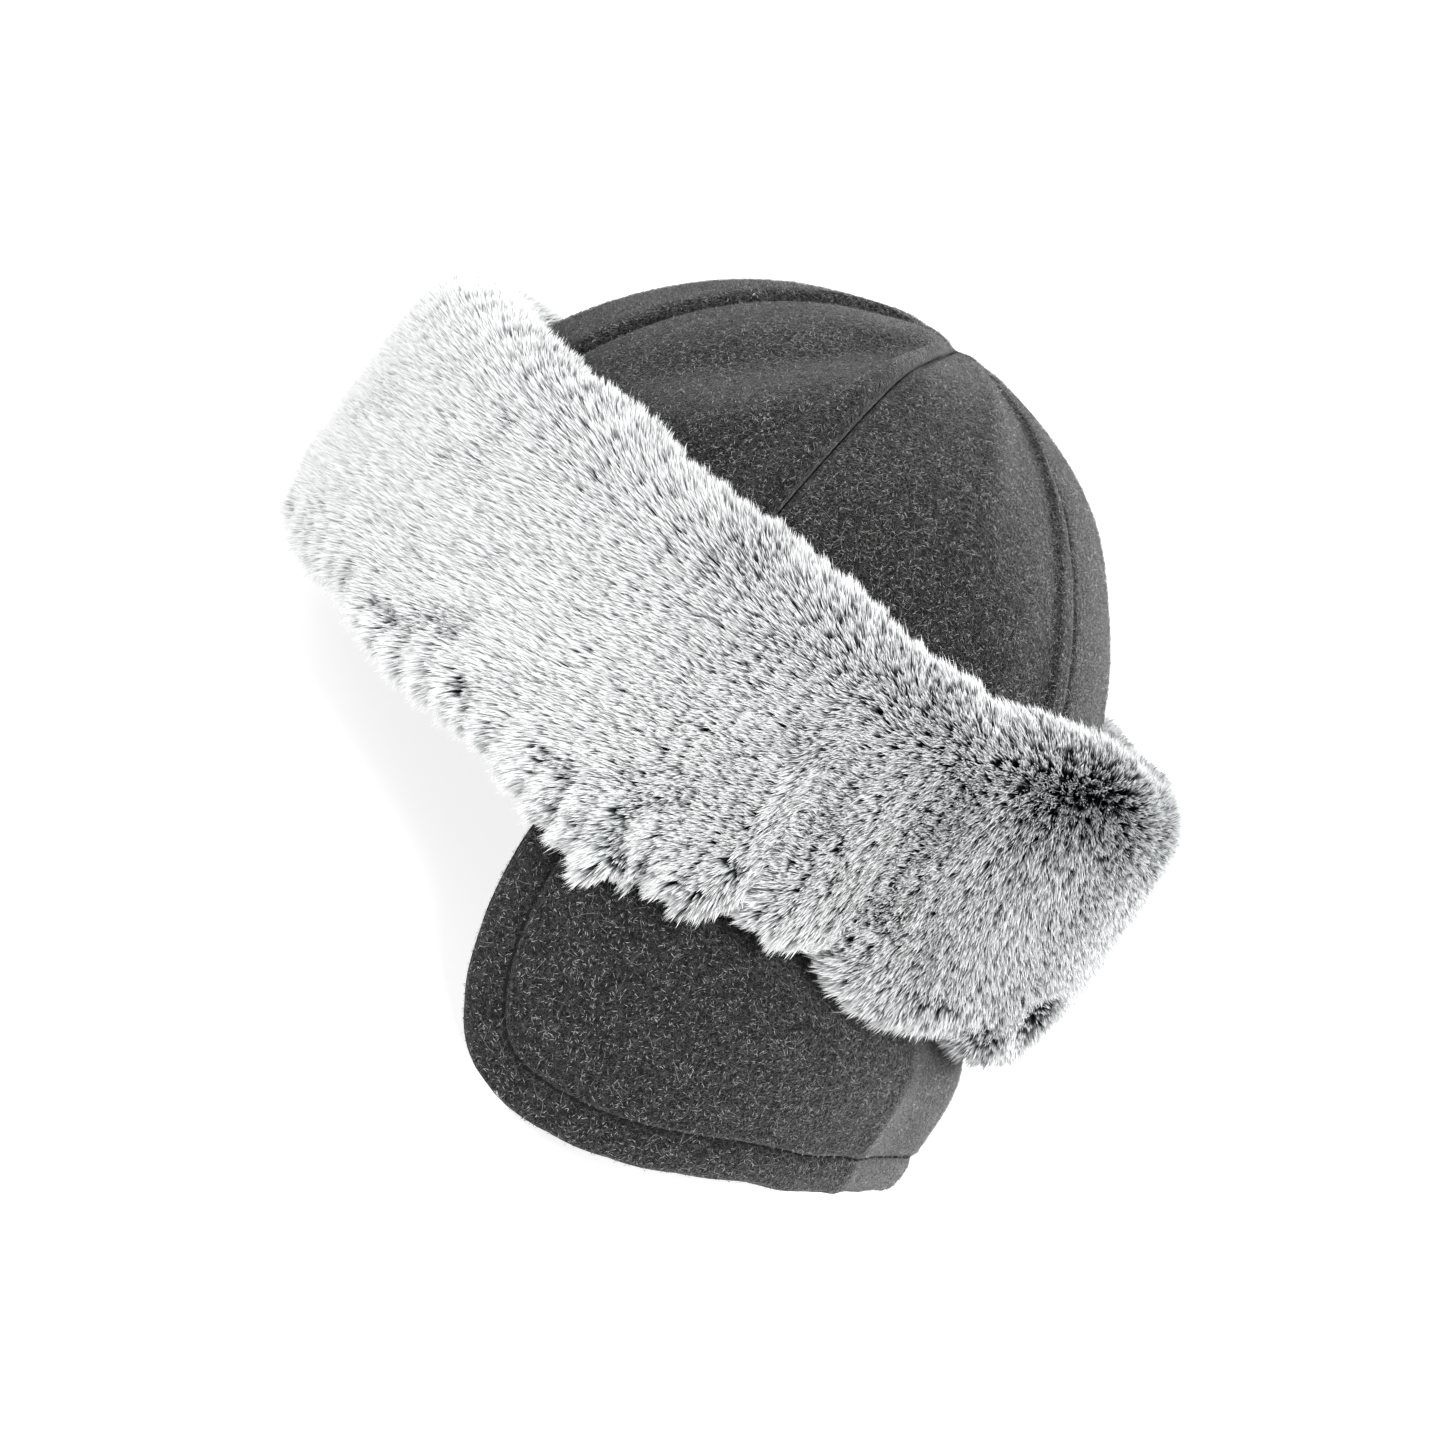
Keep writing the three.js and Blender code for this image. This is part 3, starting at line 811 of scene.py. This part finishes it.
def stitch_path():
    """The line of the topstitch on the peak's outer face, inset from the free edge."""
    s = np.sin(np.linspace(-0.5, 0.5, 361) * math.pi)[None, :]
    f = np.linspace(0.02, 1, 160)[:, None]
    grid = peak_surface(s, f)
    gap = distance_to_edge(grid, peak_edge(240))
    path = []
    for column in range(grid.shape[1]):
        inside = np.where(gap[:, column] >= STITCH_INSET)[0]
        if len(inside):
            path.append(grid[inside[-1], column])
    return np.array(path)


def peak_stitches(material):
    """The topstitch: short lengths of thread, sunk in their groove and lower at both ends."""
    path = stitch_path()
    arc = np.concatenate([[0], np.cumsum(np.linalg.norm(np.diff(path, axis=0), axis=1))])
    share = np.linspace(-1, 1, THREAD_RINGS)
    radius = THREAD_RADIUS * np.sqrt(np.clip(1 - np.linspace(-0.95, 0.95, THREAD_RINGS) ** 4, 0.05, 1))
    sunk = -STITCH_SINK - 0.3 * share ** 2
    points, faces = [], []
    for start in np.arange(1, arc[-1] - STITCH_LENGTH, STITCH_PITCH):
        steps = start + np.linspace(0, STITCH_LENGTH, THREAD_RINGS)
        line = np.stack([np.interp(steps, arc, path[:, k]) for k in range(3)], -1)
        way = unit(line[-1] - line[0])
        out = unit(line[0] * np.array([1, 1, 0]))
        across = np.cross(way, out)
        base = len(points)
        for k in range(THREAD_RINGS):
            for side in range(THREAD_SIDES):
                angle = side / THREAD_SIDES * 2 * math.pi
                offset = across * math.cos(angle) + out * math.sin(angle)
                points.append(line[k] + out * sunk[k] + offset * radius[k])
        last = base + (THREAD_RINGS - 1) * THREAD_SIDES
        faces += grid_faces(THREAD_RINGS, THREAD_SIDES, base, wrap=True)
        faces.append(tuple(base + k for k in range(THREAD_SIDES))[::-1])
        faces.append(tuple(last + k for k in range(THREAD_SIDES)))
    ob = mesh_object("peak_topstitch", np.array(points), faces)
    ob.data.materials.append(material)
    return ob


# Wool fibres

def stray_fibres(name, at, out, lengths, material, seed):
    """Long loose fibres that lie on the felt, each a thin strip bent at two places."""
    own = np.random.default_rng(seed)
    count = len(at)
    way = unit(np.cross(out, own.normal(0, 1, (count, 3))))
    curl = np.cross(out, way) * own.normal(0, 0.6, count)[:, None]
    points = []
    for k in (0, 0.35, 0.7, 1.0):
        rise = out * (STRAY_LIFT * math.sin(math.pi * (0.15 + 0.6 * k)))
        spot = at + (way * k + curl * k * k) * lengths[:, None] + rise
        half = np.cross(out, way) * (0.5 * STRAY_WIDTH * (1 - 0.8 * k))
        points += [spot - half, spot + half]
    points = np.stack(points, 1)
    base = np.arange(count)[:, None, None] * points.shape[1]
    strip = np.array([[0, 1, 3, 2], [2, 3, 5, 4], [4, 5, 7, 6]])
    faces = (base + strip).reshape(-1, 4).tolist()
    ob = mesh_object(name, points.reshape(-1, 3), faces)
    ob.data.materials.append(material)
    return ob


def crown_spots(count, seed):
    """Spots over the crown's outer face above the cuff, away from its seams, and the ways out."""
    own = np.random.default_rng(seed)
    t = own.uniform(0, 2 * math.pi, count)
    v = 1 - (1 - NAP_START) * np.sqrt(own.uniform(0.0002, 1, count))
    at = crown_surface(t, v)
    around = crown_surface(t + 0.01, v) - at
    upward = crown_surface(t, v + 0.003) - at
    place = gore_place(t)
    to_seam = np.abs(place - np.round(place)) * math.pi / 3 * np.hypot(at[:, 0], at[:, 1])
    clear = to_seam > NAP_CLEARANCE
    return at[clear], unit(np.cross(around, upward))[clear]


def peak_spots(count, seed):
    """Spots over the peak's outer face, away from its stitch line, and the ways out."""
    own = np.random.default_rng(seed)
    outer, _ = peak_grids()
    corner = outer[:-1, :-1].reshape(-1, 3)
    across = (outer[:-1, 1:] - outer[:-1, :-1]).reshape(-1, 3)
    upward = (outer[1:, :-1] - outer[:-1, :-1]).reshape(-1, 3)
    normal = np.cross(across, upward)
    area = np.linalg.norm(normal, axis=-1)
    cell = own.choice(len(area), count, p=area / area.sum())
    u, v = own.uniform(0, 1, (2, count, 1))
    at = corner[cell] + u * across[cell] + v * upward[cell]
    clear = np.abs(distance_to_edge(at, peak_edge(240)) - STITCH_INSET) > NAP_CLEARANCE
    return at[clear], unit(normal[cell])[clear]


def wool_nap(name, at, out, seed, material):
    """The felt's short nap: light fibres, each lying close on the cloth."""
    own = np.random.default_rng(seed)
    count = len(at)
    way = unit(np.cross(out, own.normal(0, 1, (count, 3))))
    side = np.cross(out, way)
    length = own.uniform(NAP_SHORTEST, NAP_LONGEST, count)[:, None]
    lift = own.uniform(0.05, 0.55, count)[:, None]
    tip = at + way * length + out * lift
    return straight_hairs(name, at, tip, side * NAP_WIDTH, own.uniform(0, 1, count), material)


# Materials

# Stops of colour ramps: a place from 0 to 1, and the colour there
WOOL_BASE = [
    (0.38, (0.002, 0.002, 0.0021)),
    (0.5, (0.009, 0.0088, 0.009)),
    (0.64, (0.042, 0.041, 0.0415)),
]
WOOL_CLOUDS = [(0.35, (0.008, 0.0078, 0.008)), (0.65, (0.024, 0.0235, 0.024))]
WOOL_GRAIN = [(0.38, (0.12, 0.12, 0.12)), (0.62, (1.9, 1.9, 1.9))]
WOOL_NAP = [
    (0.05, (0.004, 0.004, 0.004)),
    (0.5, (0.02, 0.0195, 0.0195)),
    (0.76, (0.12, 0.118, 0.116)),
    (1.0, (0.54, 0.535, 0.53)),
]
SKIN_COLOURS = [(0.35, (0.010, 0.012, 0.013)), (0.7, (0.035, 0.040, 0.042))]
LIGHT_HAIR = [
    (0.40, (0.010, 0.014, 0.016)),
    (0.54, (0.14, 0.17, 0.18)),
    (0.66, (0.80, 0.82, 0.82)),
    (0.85, (0.93, 0.93, 0.93)),
]
DARK_HAIR = [
    (0.60, (0.005, 0.008, 0.009)),
    (0.73, (0.05, 0.065, 0.07)),
    (0.81, (0.58, 0.61, 0.62)),
    (0.90, (0.93, 0.93, 0.93)),
]

# Plain colours
WOOL_LINES = (0.12, 0.118, 0.116)
THREAD_COLOUR = (0.008, 0.008, 0.008)
STRAY_COLOUR = (0.30, 0.295, 0.29)
FLOOR_COLOUR = (0.5, 0.5, 0.5)
WHITE = (1, 1, 1, 1)


def new_material(name, roughness, specular):
    """A material with its nodes, its links and its shader."""
    material = bpy.data.materials.new(name)
    material.use_nodes = True
    nodes, links = material.node_tree.nodes, material.node_tree.links
    shader = nodes["Principled BSDF"]
    shader.inputs["Roughness"].default_value = roughness
    shader.inputs["Specular IOR Level"].default_value = specular
    return material, nodes, links, shader


def noise_node(nodes, links, coordinates, scale, detail, roughness, distortion=0.0):
    """Noise from 0 to 1."""
    node = nodes.new("ShaderNodeTexNoise")
    node.inputs["Scale"].default_value = scale
    node.inputs["Detail"].default_value = detail
    node.inputs["Roughness"].default_value = roughness
    node.inputs["Distortion"].default_value = distortion
    links.new(coordinates, node.inputs["Vector"])
    return node.outputs["Fac"]


def ramp_node(nodes, links, value, stops):
    """A colour picked by a value from 0 to 1."""
    node = nodes.new("ShaderNodeValToRGB")
    while len(node.color_ramp.elements) < len(stops):
        node.color_ramp.elements.new(0.5)
    for element, (place, colour) in zip(node.color_ramp.elements, stops):
        element.position = place
        element.color = (*colour, 1)
    links.new(value, node.inputs["Fac"])
    return node.outputs["Color"]


def math_node(nodes, links, operation, a, b=None):
    """A sum on one or two values, each a number or another node's output."""
    node = nodes.new("ShaderNodeMath")
    node.operation = operation
    for socket, value in zip(node.inputs, (a, b)):
        if value is None:
            continue
        if isinstance(value, (int, float)):
            socket.default_value = value
        else:
            links.new(value, socket)
    return node.outputs[0]


def mix_colour(nodes, links, factor, a, b, mode="MIX"):
    """Two colours mixed, by a number or by another node's output."""
    node = nodes.new("ShaderNodeMix")
    node.data_type = "RGBA"
    node.blend_type = mode
    for socket, value in zip((node.inputs[0], node.inputs[6], node.inputs[7]), (factor, a, b)):
        if isinstance(value, (int, float)):
            socket.default_value = value
        elif isinstance(value, tuple):
            socket.default_value = (*value, 1)
        else:
            links.new(value, socket)
    return node.outputs[2]


def thin_lines(nodes, links, coordinates, scale, width):
    """Curly thread-like lines, where a noise crosses its middle value."""
    value = noise_node(nodes, links, coordinates, scale, 1.5, 0.5, 0.6)
    away = math_node(nodes, links, "ABSOLUTE", math_node(nodes, links, "SUBTRACT", value, 0.5))
    line = math_node(nodes, links, "DIVIDE", away, width)
    clear = math_node(nodes, links, "MINIMUM", line, 1.0)
    return math_node(nodes, links, "SUBTRACT", 1.0, clear)


def wool_material():
    """Dark felt with paler clouds, grains and curly fibres, which also stand up a little."""
    material, nodes, links, shader = new_material("wool_felt", 0.95, 0.06)
    place = nodes.new("ShaderNodeTexCoord").outputs["Object"]
    cloud = noise_node(nodes, links, place, 110, 3, 0.6)
    tuft = noise_node(nodes, links, place, 900, 3, 0.7, 0.5)
    grain = noise_node(nodes, links, place, 2500, 2, 0.7)
    wide = thin_lines(nodes, links, place, 420, 0.02)
    narrow = thin_lines(nodes, links, place, 760, 0.026)
    lines = math_node(nodes, links, "MAXIMUM", wide, narrow)
    broken = math_node(nodes, links, "MULTIPLY", lines, noise_node(nodes, links, place, 300, 1, 0.5))

    base = ramp_node(nodes, links, tuft, WOOL_BASE)
    clouds = ramp_node(nodes, links, cloud, WOOL_CLOUDS)
    clouded = mix_colour(nodes, links, 0.15, base, clouds)
    grains = ramp_node(nodes, links, grain, WOOL_GRAIN)
    grained = mix_colour(nodes, links, 0.8, clouded, grains, "MULTIPLY")
    shown = math_node(nodes, links, "MULTIPLY", broken, 0.6)
    colour = mix_colour(nodes, links, shown, grained, WOOL_LINES)
    links.new(colour, shader.inputs["Base Color"])
    shader.inputs["Sheen Weight"].default_value = 0.36
    shader.inputs["Sheen Roughness"].default_value = 0.45

    high_tufts = math_node(nodes, links, "MULTIPLY", tuft, 0.7)
    high_grain = math_node(nodes, links, "MULTIPLY", grain, 0.3)
    high_lines = math_node(nodes, links, "MULTIPLY", broken, 0.35)
    height = math_node(nodes, links, "ADD", high_tufts, high_grain)
    height = math_node(nodes, links, "ADD", height, high_lines)
    bump = nodes.new("ShaderNodeBump")
    bump.inputs["Strength"].default_value = 0.85
    bump.inputs["Distance"].default_value = 0.0011
    links.new(height, bump.inputs["Height"])
    links.new(bump.outputs["Normal"], shader.inputs["Normal"])
    return material


def plain_material(name, colour, roughness):
    """A material of one colour."""
    material, _, _, shader = new_material(name, roughness, 0.2)
    shader.inputs["Base Color"].default_value = (*colour, 1)
    return material


def skin_material():
    """The dark backing that shows between the hairs' roots."""
    material, nodes, links, shader = new_material("fur_skin", 0.95, 0.1)
    place = nodes.new("ShaderNodeTexCoord").outputs["Object"]
    tuft = noise_node(nodes, links, place, 700, 3, 0.6)
    links.new(ramp_node(nodes, links, tuft, SKIN_COLOURS), shader.inputs["Base Color"])
    return material


def fibre_map(nodes, links):
    """What the bake map holds: a fibre's shade, which for the pile holds painted shade too, and how
    far along the fibre a point is.
    """
    uv = nodes.new("ShaderNodeUVMap")
    uv.uv_map = "OFBake"
    split = nodes.new("ShaderNodeSeparateXYZ")
    links.new(uv.outputs["UV"], split.inputs["Vector"])
    return split.outputs["X"], split.outputs["Y"]


def pile_material():
    """Pile that is dark at the root and white at the tip."""
    material, nodes, links, shader = new_material("fur_pile", 0.55, 0.3)
    shade, along = fibre_map(nodes, links)
    light = ramp_node(nodes, links, along, LIGHT_HAIR)
    dark = ramp_node(nodes, links, along, DARK_HAIR)
    # Each hair's shade, painted shade included, picks between the dark and the light ramp
    links.new(mix_colour(nodes, links, shade, dark, light), shader.inputs["Base Color"])
    return material


def nap_material():
    """Single wool fibres, from dark to light grey."""
    material, nodes, links, shader = new_material("wool_nap", 0.7, 0.25)
    shade, _ = fibre_map(nodes, links)
    links.new(ramp_node(nodes, links, shade, WOOL_NAP), shader.inputs["Base Color"])
    return material


# Stage

def add_camera():
    """The camera. Returns the ways right, up and back from it, as if it were level."""
    side, rise = math.radians(CAMERA_SIDE), math.radians(CAMERA_RISE)
    flat = math.cos(rise)
    back = np.array([-math.sin(side) * flat, -math.cos(side) * flat, math.sin(rise)])
    right = np.array([math.cos(side), -math.sin(side), 0.0])
    up = np.cross(back, right)
    aim = right * CAMERA_AIM_RIGHT + np.array([0, 0, CAMERA_AIM_UP])
    roll = math.radians(CAMERA_ROLL)
    frame_right = right * math.cos(roll) + up * math.sin(roll)
    frame_up = up * math.cos(roll) - right * math.sin(roll)
    eye = laid_down(aim + back * CAMERA_DISTANCE)
    origin = laid_down(np.zeros(3))
    turned = [unit(laid_down(v) - origin) for v in (frame_right, frame_up, back)]
    level = [unit(laid_down(v) - origin) for v in (right, up, back)]
    matrix = Matrix.Identity(4)
    for column, vector in enumerate(turned):
        for row in range(3):
            matrix[row][column] = vector[row]
    matrix.translation = Vector(eye)
    data = bpy.data.cameras.new("camera")
    data.sensor_width = SENSOR_WIDTH
    data.sensor_fit = "HORIZONTAL"
    data.lens = SENSOR_WIDTH * CAMERA_DISTANCE / FRAME_WIDTH
    data.clip_end = 50
    camera = bpy.data.objects.new("camera", data)
    camera.matrix_world = matrix
    bpy.context.scene.collection.objects.link(camera)
    bpy.context.scene.camera = camera
    return level


def add_sun(name, direction, softness, strength):
    """A light from a direction. Its softness is how wide it seems, in degrees."""
    data = bpy.data.lights.new(name, "SUN")
    data.angle = math.radians(softness)
    data.energy = strength
    light = bpy.data.objects.new(name, data)
    light.rotation_euler = Vector(direction).to_track_quat("Z", "Y").to_euler()
    bpy.context.scene.collection.objects.link(light)


def add_floor():
    """A wide floor that glows a little, so that it is white round the cap's soft shadow."""
    mesh = bpy.data.meshes.new("floor")
    reach = 12.0
    corners = [(-reach, -reach, 0), (reach, -reach, 0), (reach, reach, 0), (-reach, reach, 0)]
    mesh.from_pydata(corners, [], [(0, 1, 2, 3)])
    floor = bpy.data.objects.new("floor", mesh)
    glowing = plain_material("floor", FLOOR_COLOUR, 0.9)
    glow = glowing.node_tree.nodes["Principled BSDF"]
    glow.inputs["Emission Color"].default_value = WHITE
    glow.inputs["Emission Strength"].default_value = FLOOR_GLOW
    floor.data.materials.append(glowing)
    bpy.context.scene.collection.objects.link(floor)


def add_world():
    """An even sky that is plain white where the camera sees it and dimmer as a light."""
    world = bpy.data.worlds.new("studio")
    world.use_nodes = True
    nodes, links = world.node_tree.nodes, world.node_tree.links
    lighting = nodes["Background"]
    lighting.inputs["Color"].default_value = WHITE
    lighting.inputs["Strength"].default_value = SKY_LIGHT
    shown = nodes.new("ShaderNodeBackground")
    shown.inputs["Color"].default_value = WHITE
    shown.inputs["Strength"].default_value = SKY_SHOWN
    choice = nodes.new("ShaderNodeMixShader")
    links.new(nodes.new("ShaderNodeLightPath").outputs["Is Camera Ray"], choice.inputs["Fac"])
    links.new(lighting.outputs["Background"], choice.inputs[1])
    links.new(shown.outputs["Background"], choice.inputs[2])
    links.new(choice.outputs["Shader"], nodes["World Output"].inputs["Surface"])
    bpy.context.scene.world = world
    bpy.context.scene.view_settings.view_transform = "Standard"
    bpy.context.scene.view_settings.look = "None"


def add_stage(side, up, back):
    """The floor, the sky and the suns. The ways that the suns come from go with the camera."""
    add_floor()
    add_world()
    add_sun("front_sun", up * 0.42 + back * 0.75 + side * 0.35, 30, FRONT_SUN)
    add_sun("left_sun", up * 0.4 + back * 0.3 - side * 0.8, 30, LEFT_SUN)
    add_sun("right_sun", up * 0.75 + side * 0.75 - back * 0.8, 15, RIGHT_SUN)


# Everything in place

def main():
    """Each piece rides on the root body and has its material; the pieces that take the place of the
    model's solids hide those solids.
    """
    add_stage(*add_camera())
    wool = wool_material()
    pile = pile_material()
    thread = plain_material("thread", THREAD_COLOUR, 0.8)
    loose = plain_material("loose_fibre", STRAY_COLOUR, 0.7)
    for index in range(len(SEAM_ANGLES) - 1):
        gore = crown_gore(index)
        gore.data.materials.append(wool)
        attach(gore, "root")
        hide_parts(f"crown_panel_{index + 1}")

    skin = fur_skin()
    skin.data.materials.append(skin_material())
    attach(skin, "root")
    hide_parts("fur_band")
    for piece in fur_pieces(pile):
        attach(piece, "root")

    peak = peak_piece()
    peak.data.materials.append(wool)
    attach(peak, "root")
    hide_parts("peak")
    stitches = peak_stitches(thread)
    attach(stitches, "root")

    nap = nap_material()
    own = np.random.default_rng(11)
    for place, spots, fibres, seed in (
        ("crown", crown_spots, CROWN_NAP, 31),
        ("peak", peak_spots, PEAK_NAP, 32),
    ):
        piece = wool_nap(f"{place}_nap", *spots(fibres, seed), seed + 20, nap)
        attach(piece, "root")
        at, out = spots(fibres // STRAY_SHARE, seed + 10)
        lengths = own.uniform(STRAY_SHORTEST, STRAY_LONGEST, len(at))
        strays = stray_fibres(f"{place}_strays", at, out, lengths, loose, seed + 30)
        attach(strays, "root")


main()
